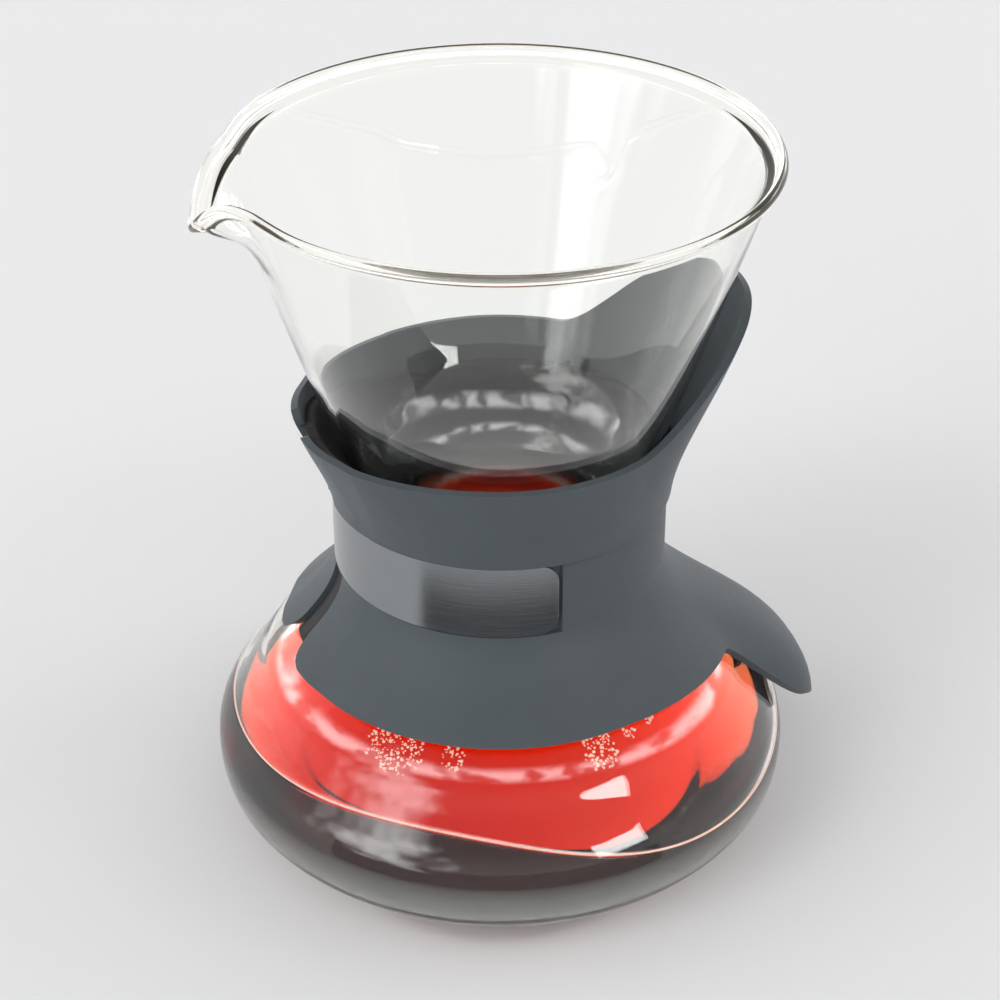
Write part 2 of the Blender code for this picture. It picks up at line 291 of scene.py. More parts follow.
# Floor. What is seen of it through glass glows round a place under the bowl, and less so farther away.
floor_colour = (0.925, 0.925, 0.92)
floor_roughness = 0.9
floor_specular = 0.1
floor_reach = 3000 * MM
floor_drop = 0.05 * MM
under_light = 2.6
under_gain = 1.3
under_place = (-4 * MM, -14 * MM, 0.0)
under_rise = (25 * MM, 60 * MM)
under_fade = (65 * MM, 110 * MM)
far_light = 0.98

# Mesh fineness of the grip
skirt_rows = 26
waist_rows = 8
flare_rows = 20
plain_step = math.radians(1.5)
pocket_step = math.radians(2.0)
pocket_end = math.radians(151)
slit_columns = 16
slit_reach = 14.0 * MM
clip_turns = 110
clip_corner_turns = 10
liner_foot_rows = 14
liner_top_rows = 12
liner_turns = 120
edge_radius = 0.55 * MM
clip_edge_radius = 0.25 * MM
edge_segments = 3
sharp_angle = math.radians(50)


def smoothstep(value):
    """Smooth step from 0 to 1, held at both ends."""
    held = min(max(value, 0.0), 1.0)
    return held * held * (3.0 - 2.0 * held)


def mix(start, end, share):
    """Value at a share of the way from start to end."""
    return start + (end - start) * share


def polar(radius, angle, height):
    """Point in space at a radius, an angle round the axis and a height."""
    return Vector((radius * math.cos(angle), radius * math.sin(angle), height))


def bezier(start, lead, tail, end, rows):
    """Cubic curve between two 2-D points, as rows + 1 points."""
    path = []
    for row in range(rows + 1):
        t = row / rows
        s = 1 - t
        path.append(start * s**3 + 3 * lead * s * s * t + 3 * tail * s * t * t + end * t**3)
    return path


def smooth_path(points, rows):
    """Smooth curve through 2-D points, with rows steps between neighbours."""
    made = []
    last = len(points) - 1
    for index in range(last):
        before = points[max(index - 1, 0)]
        start = points[index]
        end = points[index + 1]
        after = points[min(index + 2, last)]
        length = (end - start).length
        lead = tangent_at(before, start, end) * length / 3
        tail = tangent_at(start, end, after) * length / 3
        made += bezier(start, start + lead, end - tail, end, rows)[:-1]
    return made + [points[last]]


def tangent_at(before, here, after):
    """Unit tangent at a point, weighted to its nearer neighbour."""
    back = here - before
    ahead = after - here
    if back.length == 0:
        return ahead.normalized()
    if ahead.length == 0:
        return back.normalized()
    return (back.normalized() * ahead.length + ahead.normalized() * back.length).normalized()


def offset_path(path, distance_of):
    """Move each point of an open 2-D path to its left by distance_of(share along the path)."""
    moved = []
    last = len(path) - 1
    for index, point in enumerate(path):
        along = path[min(index + 1, last)] - path[max(index - 1, 0)]
        side = Vector((-along.y, along.x)).normalized()
        moved.append(point + side * distance_of(index / last))
    return moved


def radius_at(path, height):
    """Radius of a rising 2-D path at a height."""
    for low, high in zip(path, path[1:]):
        if low.y <= height <= high.y:
            share = (height - low.y) / (high.y - low.y) if high.y > low.y else 0.0
            return mix(low.x, high.x, share)
    return path[-1].x if height > path[-1].y else path[0].x


def piece(name, vertices, faces, look):
    """Closed mesh object that rides on the body, with outward normals."""
    built = bmesh.new()
    points = [built.verts.new(vertex) for vertex in vertices]
    for face in faces:
        built.faces.new([points[index] for index in face])
    bmesh.ops.recalc_face_normals(built, faces=built.faces)
    for face in built.faces:
        face.smooth = True
    data = bpy.data.meshes.new(name)
    built.to_mesh(data)
    built.free()
    data.materials.append(look)
    obj = bpy.data.objects.new(name, data)
    bpy.context.scene.collection.objects.link(obj)
    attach(obj, "root")
    return obj


def round_edges(obj, radius):
    """Bevel the sharp edges, and keep the wide faces flat in shading."""
    bevel = obj.modifiers.new("rounded_edges", "BEVEL")
    bevel.width = radius
    bevel.segments = edge_segments
    bevel.limit_method = "ANGLE"
    bevel.angle_limit = sharp_angle
    bevel.use_clamp_overlap = True
    normals = obj.modifiers.new("even_shading", "WEIGHTED_NORMAL")
    normals.keep_sharp = True


def loop_columns(columns, closed):
    """Faces that join closed section loops, one per column, with strip caps when not closed."""
    count = len(columns[0])
    faces = []
    turns = len(columns) if closed else len(columns) - 1
    for turn in range(turns):
        here = turn * count
        there = ((turn + 1) % len(columns)) * count
        for row in range(count):
            after = (row + 1) % count
            faces.append((here + row, here + after, there + after, there + row))
    if not closed:
        half = count // 2
        for start in (0, turns * count):
            for row in range(half - 1):
                near = start + row
                far = start + count - 1 - row
                faces.append((near, near + 1, far - 1, far))
    return [point for column in columns for point in column], faces


def closed_turn(sections, angles):
    """Vertices and faces of a closed body of one section for each angle, whose ends lie on the axis."""
    count = len(sections[0]) - 2
    vertices = []
    for section, angle in zip(sections, angles):
        vertices += [polar(point.x, angle, point.y) for point in section[1:-1]]
    vertices += [Vector((0.0, 0.0, sections[0][0].y)), Vector((0.0, 0.0, sections[0][-1].y))]
    foot = len(vertices) - 2
    faces = []
    for turn in range(len(sections)):
        here = turn * count
        there = ((turn + 1) % len(sections)) * count
        faces.append((foot, there, here))
        faces.append((foot + 1, here + count - 1, there + count - 1))
        for row in range(count - 1):
            faces.append((here + row, there + row, there + row + 1, here + row + 1))
    return vertices, faces


def glass_outline():
    """Outer outline of the glass as in the CAD model, from the foot to below the rim."""
    points = [(share * bowl_radius, height) for share, height in foot_shares]
    for share, height in belly_shares + waist_shares:
        points.append((mix(neck_radius, bowl_radius, share), height))
    for share, height in throat_shares + cone_shares:
        points.append((mix(neck_radius, rim_radius, share), height))
    return [Vector((radius, height * vessel_height)) for radius, height in points]


def glass_radius(height):
    """Outer radius of the glass at a height."""
    return radius_at(glass_outline(), height)


# Places that follow from the sizes above
facing = -math.pi / 2 - camera_turn
waist_height = vessel_height * waist_height_share
skirt_top = waist_height - clip_width / 2 - fit_gap
step_height = waist_height + clip_width / 2 + fit_gap
waist_radius = glass_radius(step_height) + waist_gap
step_radius = waist_radius + step_proud
skirt_edge_height = skirt_top - skirt_drop
skirt_edge_radius = glass_radius(skirt_edge_height) + skirt_gap
side_edge_height = step_height + flare_rise
side_edge_radius = glass_radius(side_edge_height) + flare_gap
ear_height = step_height + ear_rise
ear_radius = glass_radius(ear_height) + ear_gap
wing_tip_height = step_height + wing_rise
wing_tip_radius = glass_radius(wing_tip_height) + wing_gap
tail_tip_height = vessel_height * belly_shares[0][1] + tail_tip_rise
tail_tip_radius = bowl_radius + tail_reach
liner_foot_height = skirt_edge_height + liner_foot_rise
liner_top_height = step_height + liner_top_rise
liner_ear_height = ear_height - liner_ear_drop


def smooth_outline():
    """The glass's outer outline as a smooth curve that stays within the bowl's radius."""
    path = smooth_path(glass_outline(), glass_rows)
    return [Vector((min(point.x, bowl_radius), point.y)) for point in path]


def lip_crest(angle):
    """How far the pouring lip is drawn at an angle, and how far the rim beside it is pinched."""
    off = (angle - lip_turn + math.pi) % math.tau - math.pi
    side = (math.sqrt(off * off + lip_soft_angle**2) - lip_soft_angle) / lip_half_angle
    crest = max(0.0, 1.0 - side) ** lip_crest_power
    return crest, math.exp(-((side - lip_ridge_share) / lip_ridge_spread_share) ** 2)


def drawn_outline(path, angle):
    """The outer outline after the pouring lip has been drawn out and down at an angle."""
    crest, ridge = lip_crest(angle)
    drawn = []
    for point in path:
        below = vessel_height - point.y
        out = smoothstep(1.0 - below / lip_reach_depth) * (lip_reach * crest - lip_pinch * ridge)
        down = smoothstep(1.0 - below / lip_drop_depth) * lip_drop * crest * crest
        drawn.append(Vector((point.x + out, point.y - down)))
    return drawn


def rim_bead(plain_end, drawn_path):
    """Rounded rim on the end of the drawn outline, turned with it."""
    outward = rim_radius - plain_end[1].x
    rise = vessel_height - plain_end[1].y
    width = glass_wall + rim_thickening
    points = [Vector((outward * out, rise * up)) for out, up in rim_outer_shares]
    points += [Vector((outward - width * back, rise * up)) for back, up in rim_inner_shares]
    plain = plain_end[1] - plain_end[0]
    drawn = drawn_path[-1] - drawn_path[-2]
    turn = math.atan2(drawn.y, drawn.x) - math.atan2(plain.y, plain.x)
    sine = math.sin(turn)
    cosine = math.cos(turn)
    neck = drawn_path[-1]
    return [neck + Vector((cosine * p.x - sine * p.y, sine * p.x + cosine * p.y)) for p in points]


def glass_section(path, angle):
    """Section of the glass from the underside's centre over the rim to the inside's centre."""
    outer = drawn_outline(path, angle)
    inner = offset_path(outer, lambda share: glass_wall)[glass_foot_rows:]
    inner = [Vector((point.x, max(point.y, floor_wall))) for point in inner]
    bead = smooth_path([outer[-1]] + rim_bead(path[-2:], outer) + [inner[-1]], glass_rows)[1:-1]
    under = [Vector((outer[0].x * step / glass_rows, 0.0)) for step in range(glass_rows)]
    floor = [Vector((inner[0].x * step / glass_rows, floor_wall)) for step in range(glass_rows)]
    return under + outer + bead + inner[::-1] + floor[::-1]


def glass_angles():
    """Angles of the glass mesh, closer together across the lip."""
    near = lip_half_angle * lip_mesh_share
    fine = [lip_turn - near + 2 * near * step / lip_columns for step in range(lip_columns)]
    rest = math.tau - 2 * near
    return fine + [lip_turn + near + rest * step / glass_columns for step in range(glass_columns)]


def carafe_glass():
    """The blown glass: outside, rim with its pouring lip, inside and flat floor in one closed body."""
    path = smooth_outline()
    angles = glass_angles()
    sections = [glass_section(path, angle) for angle in angles]
    vertices, faces = closed_turn(sections, angles)
    made = piece("clear_glass_vessel", vertices, faces, clear_glass())
    mark_rim(made.data, len(path) + glass_rows - 1, len(sections[0]) - 2)
    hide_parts("carafe_glass")
    return made


def mark_rim(data, start, count):
    """Mark the rim's vertices, and a few rows beside it, in each column of count vertices."""
    end = start + glass_rows * (len(rim_outer_shares) + len(rim_inner_shares) + 1)
    marks = data.attributes.new("rim", "FLOAT", "POINT")
    for index, mark in enumerate(marks.data):
        mark.value = float(start - rim_mark_rows <= index % count < end + rim_mark_rows)


def swirl(angle, share):
    """Rise of the swirling coffee at an angle and a share of the way out from the middle."""
    rise = 0.0
    for count, height, turn in swirl_terms:
        rise += height * math.cos(count * (angle - facing - turn)) * share**count
    return rise


def coffee():
    """The drink: it fills the bowl to a swirling surface that climbs a little at the glass."""
    inner = offset_path(smooth_outline(), lambda share: glass_wall - coffee_sink)
    inner = [point for point in inner if point.y > floor_wall]
    angles = [math.tau * turn / coffee_columns for turn in range(coffee_columns)]
    low = floor_wall - coffee_sink
    sections = []
    for angle in angles:
        edge = coffee_level + swirl(angle, 1.0) + meniscus_rise
        heights = [mix(low, edge, row / coffee_rows) for row in range(coffee_rows + 1)]
        wall = [Vector((radius_at(inner, height), height)) for height in heights]
        section = [Vector((0.0, low))] + wall
        reach = section[-1].x
        for ring in range(1, coffee_rings):
            share = (1.0 - ring / coffee_rings) ** coffee_ring_power
            climb = meniscus_rise * math.exp(-(1.0 - share) * reach / meniscus_reach)
            section.append(Vector((reach * share, coffee_level + swirl(angle, share) + climb)))
        sections.append(section + [Vector((0.0, coffee_level))])
    vertices, faces = closed_turn(sections, angles)
    return piece("coffee", vertices, faces, coffee_drink())


def droplets():
    """Clusters of droplets that cling to the wall just above the drink."""
    template = bmesh.new()
    bmesh.ops.create_icosphere(template, subdivisions=1, radius=1.0)
    corners = [vertex.co.copy() for vertex in template.verts]
    sides = [tuple(vertex.index for vertex in face.verts) for face in template.faces]
    template.free()
    inner = offset_path(smooth_outline(), lambda share: glass_wall)
    chance = random.Random(droplet_seed)
    vertices = []
    faces = []
    for turn, height, half_turn, half_height, count in droplet_clusters:
        for _ in range(count):
            reach = math.sqrt(chance.random())
            way = chance.uniform(0.0, math.tau)
            level = height + half_height * reach * math.sin(way)
            angle = facing + turn + half_turn * reach * math.cos(way)
            size = mix(*droplet_radii, chance.random() ** droplet_size_power)
            centre = polar(radius_at(inner, level), angle, level)
            start = len(vertices)
            vertices += [centre + corner * size for corner in corners]
            faces += [tuple(start + index for index in side) for side in sides]
    # The droplets wear the pale finish, with its painted glow.
    return piece("coffee_droplets", vertices, faces, pale_drop_and_highlight())


def meniscus_highlight_line():
    """Thin pale line where the drink meets the wall: a painted highlight of the meniscus."""
    inner = offset_path(smooth_outline(), lambda share: glass_wall)
    vertices = []
    faces = []
    for turn in range(coffee_columns):
        angle = math.tau * turn / coffee_columns
        level = coffee_level + swirl(angle, 1.0) + meniscus_rise
        reach = radius_at(inner, level)
        here = turn * line_sides
        there = (turn + 1) % coffee_columns * line_sides
        for side in range(line_sides):
            way = math.tau * side / line_sides
            after = (side + 1) % line_sides
            out = line_radius * math.cos(way)
            up = line_radius * math.sin(way)
            vertices.append(polar(reach + out, angle, level + up))
            faces.append((here + side, here + after, there + after, there + side))
    return piece("coffee_painted_highlight_line", vertices, faces, pale_drop_and_highlight())


def tail_share(angle):
    """How far the skirt is drawn out at an angle: a broad root that swells into a round tongue."""
    turn = min(abs(angle) / tail_half_angle, 1.0)
    tongue = 0.5 + 0.5 * math.cos(math.pi * turn**tail_power)
    root = smoothstep(1.0 - abs(angle) / tail_root_angle)
    return mix(tongue, root, tail_root_share)


def wing_share(angle):
    """How far the upper edge is drawn out into the wing at an angle."""
    return smoothstep(1.0 - (abs(angle) / wing_half_angle) ** wing_power)


def ear_share(angle):
    """How far the upper edge is drawn out into the ears beside the slit at an angle."""
    return smoothstep((abs(angle) / math.pi - ear_start_share) / ear_spread_share)


def skirt_path(tail):
    """Outer path of the skirt from its lower edge up to the waist, plain or drawn out into the tail."""
    waist = Vector((waist_radius, skirt_top))
    low_radius = mix(skirt_edge_radius, tail_tip_radius, tail)
    low = Vector((low_radius, mix(skirt_edge_height, tail_tip_height, tail)))
    fall = waist.y - low.y
    reach = low.x - waist.x
    lead = Vector((waist.x + reach * skirt_lead_shares[0], waist.y - fall * skirt_lead_shares[1]))
    plain_end = Vector((low.x - reach * skirt_end_shares[0], low.y + fall * skirt_end_shares[1]))
    tail_end = Vector((low.x - reach * tail_end_shares[0], low.y + fall * tail_end_shares[1]))
    return bezier(low, plain_end.lerp(tail_end, tail), lead, waist, skirt_rows)


def flare_path(wing, ear):
    """Outer path above the clip, from the step up to the rim, plain or drawn out into wing or ear."""
    step = Vector((step_radius, step_height))
    plain = Vector((mix(side_edge_radius, ear_radius, ear), mix(side_edge_height, ear_height, ear)))
    high = plain.lerp(Vector((wing_tip_radius, wing_tip_height)), wing)
    rise = high.y - step.y
    reach = high.x - step.x
    lead = Vector((step.x + reach * flare_lead_shares[0], step.y + rise * flare_lead_shares[1]))
    end = Vector((high.x - reach * flare_end_shares[0], high.y - rise * flare_end_shares[1]))
    return bezier(step, lead, end, high, flare_rows)


def waist_path():
    """Outer path of the waist, without its ends."""
    heights = [mix(skirt_top, step_height, row / waist_rows) for row in range(1, waist_rows)]
    return [Vector((waist_radius, height)) for height in heights]


def jacket_wall_at(share):
    """Wall of the jacket at a share along its outer path, thinner towards both edges."""
    middle = 1.0 - abs(2.0 * share - 1.0)
    return mix(jacket_edge_wall, jacket_wall, smoothstep(middle / jacket_edge_share))


def jacket_column(angle, pocket):
    """Closed section loop of the jacket: outer path upward, then inner path downward."""
    skirt = skirt_path(tail_share(angle))
    waist = waist_path()
    flare = flare_path(wing_share(angle), ear_share(angle))
    inner = offset_path(skirt + waist + flare, jacket_wall_at)
    depth = pocket_depth if pocket else 0.0
    floor = waist_radius - depth
    shoulder = Vector((floor, skirt_top))
    ceiling = Vector((floor, step_height))
    outer = skirt + [shoulder] + [Vector((floor, point.y)) for point in waist] + [ceiling] + flare
    top = len(skirt) + len(waist)
    held = inner[:len(skirt)] + [inner[len(skirt) - 1] + Vector((0.0, fit_gap))]
    held += inner[len(skirt):top] + [inner[top] - Vector((0.0, fit_gap))] + inner[top:]
    return outer + held[::-1]


def corner_shift(distance, radius):
    """How far a rounded corner of the given radius stands back at a distance from its edge."""
    left = radius - min(max(distance, 0.0), radius)
    return radius - math.sqrt(radius**2 - left**2)


def slit_edge(height):
    """Half width of the slit in the jacket at a height, wider at its rounded corners."""
    low = corner_shift(height - skirt_edge_height, slit_corner)
    return slit_half_width + low + corner_shift(ear_height - height, ear_corner)


def spread(start, end, step):
    """Evenly spaced values from start up to, but without, end."""
    count = math.ceil((end - start) / step)
    return [mix(start, end, index / count) for index in range(count)]


def jacket_columns():
    """Columns of one side of the jacket, from the tail to the slit, as points in space."""
    pocket_start = clip_end_angle - clip_end_play
    angles = [(angle, False) for angle in spread(0.0, pocket_start - pocket_end_slope, plain_step)]
    angles += [(pocket_start - pocket_end_slope, False), (pocket_start, True)]
    angles += [(angle, True) for angle in spread(pocket_start, pocket_end, pocket_step)[1:]]
    columns = []
    for angle, pocket in angles:
        columns.append([polar(point.x, angle, point.y) for point in jacket_column(angle, pocket)])
    for step in range(slit_columns + 1):
        back = slit_reach * (1.0 - step / slit_columns) ** slit_step_power
        section = jacket_column(math.pi - (slit_half_width + back) / waist_radius, True)
        column = []
        for point in section:
            rounding = slit_edge(point.y) - slit_half_width
            near = 1.0 - back / slit_reach
            arc = slit_half_width + back + rounding * near
            column.append(polar(point.x, math.pi - arc / point.x, point.y))
        columns.append(column)
    return columns


def grip_jacket():
    """One open moulding: skirt with a tail, waist with the clip's pocket, flare with a wing."""
    half = jacket_columns()
    mirrored = [[Vector((point.x, -point.y, point.z)) for point in column] for column in half[:0:-1]]
    vertices, faces = loop_columns(mirrored + half, closed=False)
    made = piece("soft_grip_jacket", vertices, faces, soft_grey())
    round_edges(made, edge_radius)
    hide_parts("grip_jacket")
    return made


def band_clip():
    """Open spring clip round the waist, with rounded ends."""
    inner_radius = waist_radius - pocket_depth + fit_gap
    outer_radius = inner_radius + clip_wall
    low = skirt_top + fit_gap
    high = step_height - fit_gap
    end = clip_end_angle
    corner = clip_corner / outer_radius
    turns = [corner * (turn / clip_corner_turns) ** 2 for turn in range(clip_corner_turns + 1)]
    span = math.tau - 2 * end - 2 * corner
    middle = [corner + span * step / clip_turns for step in range(1, clip_turns)]
    whole = math.tau - 2 * end
    columns = []
    for offset in turns + middle + [whole - turn for turn in reversed(turns)]:
        near = min(offset, whole - offset)
        left = max(1.0 - near / corner, 0.0)
        cut = clip_corner * (1.0 - math.sqrt(1.0 - left**2))
        heights = [low + cut, mix(low + cut, high - cut, 0.5), high - cut]
        outer = [polar(outer_radius, end + offset, height) for height in heights]
        inner = [polar(inner_radius, end + offset, height) for height in heights]
        columns.append(outer + inner[::-1])
    vertices, faces = loop_columns(columns, closed=False)
    made = piece("spring_band", vertices, faces, satin_steel())
    round_edges(made, clip_edge_radius)
    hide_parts("band_clip")
    return made


def liner_heights(top):
    """Row heights of the liner, split at the clip's pocket."""
    below = skirt_top - fit_gap
    above = step_height + fit_gap
    heights = []
    spans = (
        (liner_foot_height, below, liner_foot_rows),
        (skirt_top, step_height, waist_rows),
        (above, top, liner_top_rows),
    )
    for low, high, rows in spans:
        heights += [mix(low, high, row / rows) for row in range(rows + 1)]
    return heights


def liner_loop(angle, spine, glass_side):
    """Section loop of the liner at an angle. With spine set it also fills the slit in the jacket."""
    outside = skirt_path(0.0) + waist_path() + flare_path(wing_share(angle), ear_share(angle))
    inside = offset_path(outside, lambda share: jacket_wall_at(share) + fit_gap)
    slit_side = offset_path(outside, lambda share: spine_recess)
    outer = []
    inner = []
    for height in liner_heights(mix(liner_top_height, liner_ear_height, ear_share(angle))):
        jacket_side = radius_at(inside, height)
        face = radius_at(slit_side, height) if spine else jacket_side
        if skirt_top <= height <= step_height:
            face = min(face, waist_radius - pocket_depth)
        outer.append(Vector((face, height)))
        near = radius_at(glass_side, height)
        if height > step_height:
            near = max(near, jacket_side - mix(jacket_side - near, liner_edge_wall, ear_share(angle)))
        inner.append(Vector((near, height)))
    return outer + inner[::-1]


def grip_liner():
    """Soft sleeve between glass and jacket, with a spine that shows in the slit."""
    glass_side = offset_path(smooth_outline(), lambda share: -fit_gap)
    columns = []
    for share in spine_shares:
        column = []
        for point in liner_loop(math.pi, True, glass_side):
            half = (slit_half_width - spine_play) / point.x
            column.append(polar(point.x, math.pi + share * half, point.y))
        columns.append(column)
    for step in range(liner_turns + 1):
        share = 1.0 - 2.0 * step / liner_turns
        column = []
        for point in liner_loop(share * (math.pi - slit_half_width / waist_radius), False, glass_side):
            half = (slit_half_width - liner_play) / point.x
            column.append(polar(point.x, -share * (math.pi - half), point.y))
        columns.append(column)
    vertices, faces = loop_columns(columns, closed=True)
    made = piece("rubber_liner", vertices, faces, black_rubber())
    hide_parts("grip_liner")
    return made


def new_material(name):
    """Empty material, with its node tree and its output node."""
    made = bpy.data.materials.new(name)
    made.use_nodes = True
    tree = made.node_tree
    tree.nodes.clear()
    return made, tree, tree.nodes.new("ShaderNodeOutputMaterial")


def principled(tree, output, **values):
    """Principled shader on the output, with plain values by socket name."""
    shader = tree.nodes.new("ShaderNodeBsdfPrincipled")
    for name, value in values.items():
        socket = shader.inputs[name.replace("_", " ")]
        socket.default_value = (*value, 1.0) if isinstance(value, tuple) else value
    tree.links.new(shader.outputs["BSDF"], output.inputs["Surface"])
    return shader


def noise(tree, scale, detail=3.0, roughness=0.5, stretch=(1.0, 1.0, 1.0)):
    """Noise in object space; scale is in waves per metre."""
    place = tree.nodes.new("ShaderNodeTexCoord")
    mapping = tree.nodes.new("ShaderNodeMapping")
    mapping.inputs["Scale"].default_value = stretch
    texture = tree.nodes.new("ShaderNodeTexNoise")
    texture.inputs["Scale"].default_value = scale
    texture.inputs["Detail"].default_value = detail
    texture.inputs["Roughness"].default_value = roughness
    tree.links.new(place.outputs["Object"], mapping.inputs["Vector"])
    tree.links.new(mapping.outputs["Vector"], texture.inputs["Vector"])
    return texture.outputs["Fac"]


def ranged(tree, source, low, high):
    """A 0 to 1 value spread between low and high."""
    node = tree.nodes.new("ShaderNodeMapRange")
    node.inputs["To Min"].default_value = low
    node.inputs["To Max"].default_value = high
    tree.links.new(source, node.inputs["Value"])
    return node.outputs["Result"]


def faded(tree, source, start, end, low, high):
    """A value that turns smoothly from low to high while the source goes from start to end."""
    result = ranged(tree, source, low, high)
    result.node.interpolation_type = "SMOOTHSTEP"
    result.node.inputs["From Min"].default_value = start
    result.node.inputs["From Max"].default_value = end
    return result


def arithmetic(tree, operation, first, second):
    """Sum, product or other operation on two values."""
    node = tree.nodes.new("ShaderNodeMath")
    node.operation = operation
    tree.links.new(first, node.inputs[0])
    tree.links.new(second, node.inputs[1])
    return node.outputs["Value"]


def measured(tree, operation, source, vector):
    """Dot product of a vector with a fixed one, or its distance from a fixed place."""
    node = tree.nodes.new("ShaderNodeVectorMath")
    node.operation = operation
    node.inputs[1].default_value = vector
    tree.links.new(source, node.inputs[0])
    return node.outputs["Value"]


def tinted(tree, source, dark, light):
    """Colour between two by a 0 to 1 value."""
    node = tree.nodes.new("ShaderNodeMix")
    node.data_type = "RGBA"
    node.inputs["A"].default_value = (*dark, 1.0)
    node.inputs["B"].default_value = (*light, 1.0)
    tree.links.new(source, node.inputs["Factor"])
    return node.outputs["Result"]


def bumped(tree, source, distance, strength=1.0):
    """Bump by a height."""
    node = tree.nodes.new("ShaderNodeBump")
    node.inputs["Distance"].default_value = distance
    node.inputs["Strength"].default_value = strength
    tree.links.new(source, node.inputs["Height"])
    return node.outputs["Normal"]


def absorbing(tree, output, colour, density):
    """Volume that takes light away from what passes through."""
    volume = tree.nodes.new("ShaderNodeVolumeAbsorption")
    volume.inputs["Color"].default_value = (*colour, 1.0)
    volume.inputs["Density"].default_value = density
    tree.links.new(volume.outputs["Volume"], output.inputs["Volume"])


def clear_glass():
    """Clear glass with a faint ripple, warmer along the marked rim, where a faint painted glow shines."""
    made, tree, output = new_material("clear_glass")
    shader = principled(tree, output, Roughness=0.0, IOR=glass_ior, Transmission_Weight=1.0)
    ripple = bumped(tree, noise(tree, ripple_scale, ripple_detail), ripple_height)
    tree.links.new(ripple, shader.inputs["Normal"])
    mark = tree.nodes.new("ShaderNodeAttribute")
    mark.attribute_name = "rim"
    # Painted glow: the marked rim emits a faint olive light, though the glass is no lamp.
    glow = tinted(tree, mark.outputs["Fac"], (0.0, 0.0, 0.0), rim_painted_glow)
    tree.links.new(glow, shader.inputs["Emission Color"])
    shader.inputs["Emission Strength"].default_value = rim_painted_glow_strength
    tint = tinted(tree, mark.outputs["Fac"], glass_tint, rim_tint)
    tree.links.new(tint, shader.inputs["Base Color"])
    absorbing(tree, output, glass_body_colour, glass_body_density)
    return made


def coffee_drink():
    """Clear liquid whose colour deepens with the way that light takes through it."""
    made, tree, output = new_material("coffee")
    shader = principled(tree, output, Roughness=0.0, IOR=coffee_ior, Transmission_Weight=1.0)
    shader.inputs["Base Color"].default_value = (*coffee_tint, 1.0)
    absorbing(tree, output, coffee_body_colour, coffee_body_density)
    return made


def pale_drop_and_highlight():
    """Pale finish of the droplets and of the drink's edge line, which is a painted highlight; both glow
    faintly, a painted glow.
    """
    made, tree, output = new_material("pale_drop_and_highlight")
    shader = principled(tree, output, Roughness=pale_roughness)
    pale_tone = tinted(tree, noise(tree, pale_mottle_scale), *pale_and_highlight_colours)
    tree.links.new(pale_tone, shader.inputs["Base Color"])
    # Painted glow: the droplets and the edge line emit light, though they are no lamp.
    tree.links.new(pale_tone, shader.inputs["Emission Color"])
    shader.inputs["Emission Strength"].default_value = pale_painted_glow_strength
    return made


def soft_grey():
    """Soft-touch plastic with a fine grain."""
    made, tree, output = new_material("soft_grey_plastic")
    shader = principled(tree, output, Specular_IOR_Level=grip_specular)
    shader.inputs["Sheen Weight"].default_value = grip_sheen
    shader.inputs["Sheen Roughness"].default_value = grip_sheen_roughness
    mottle = tinted(tree, noise(tree, grip_mottle_scale), *grip_colours)
    tree.links.new(mottle, shader.inputs["Base Color"])
    roughness = ranged(tree, noise(tree, grip_roughness_scale), *grip_roughness)
    tree.links.new(roughness, shader.inputs["Roughness"])
    grain = noise(tree, grip_grain_scale, grain_detail)
    tree.links.new(bumped(tree, grain, grain_height, grain_strength), shader.inputs["Normal"])
    return made


def black_rubber():
    """Matte black rubber with a fine grain."""
    made, tree, output = new_material("black_rubber")
    shader = principled(tree, output, Roughness=rubber_roughness, Specular_IOR_Level=rubber_specular)
    mottle = tinted(tree, noise(tree, rubber_mottle_scale), *rubber_colours)
    tree.links.new(mottle, shader.inputs["Base Color"])
    grain = noise(tree, rubber_grain_scale, grain_detail)
    tree.links.new(bumped(tree, grain, grain_height, grain_strength), shader.inputs["Normal"])
    return made


def satin_steel():
    """Satin metal with fine brush lines round the band."""
    made, tree, output = new_material("satin_steel")
    shader = principled(tree, output, Metallic=1.0)
    brushed = noise(tree, brush_scale, brush_detail, brush_contrast, brush_stretch)
    tree.links.new(tinted(tree, brushed, *steel_colours), shader.inputs["Base Color"])
    tree.links.new(ranged(tree, brushed, *steel_roughness), shader.inputs["Roughness"])
    tree.links.new(bumped(tree, brushed, brush_height), shader.inputs["Normal"])
    return made


def window_light():
    """Small window low at the right front, seen as a bright four-sided patch on the bowl."""
    lamp = bpy.data.lights.new("window_box", "AREA")
    lamp.shape = "RECTANGLE"
    lamp.size, lamp.size_y = window_size
    lamp.energy = window_power
    obj = bpy.data.objects.new("window_box", lamp)
    obj.location = window_place
    obj.rotation_mode = "QUATERNION"
    ahead = Vector(window_aim) - Vector(window_place)
    obj.rotation_quaternion = ahead.to_track_quat("-Z", "Y")
    obj.visible_diffuse = False
    bpy.context.scene.collection.objects.link(obj)


def dark_flag():
    """Grey card low in front, seen only in reflections: it darkens a patch of the band."""
    mesh = bpy.data.meshes.new("dark_flag")
    low, high = flag_heights
    points = []
    for turn in range(flag_columns + 1):
        angle = mix(*flag_angles, turn / flag_columns)
        points += [polar(flag_radius, angle, low), polar(flag_radius, angle, high)]
    faces = [(2 * turn, 2 * turn + 2, 2 * turn + 3, 2 * turn + 1) for turn in range(flag_columns)]
    mesh.from_pydata(points, [], faces)
    made, tree, output = new_material("dark_flag")
    principled(tree, output, Base_Color=flag_colour, Roughness=flag_roughness)
    mesh.materials.append(made)
    flag = bpy.data.objects.new("dark_flag", mesh)
    flag.visible_camera = False
    flag.visible_diffuse = False
    flag.visible_transmission = False
    flag.visible_shadow = False
    bpy.context.scene.collection.objects.link(flag)


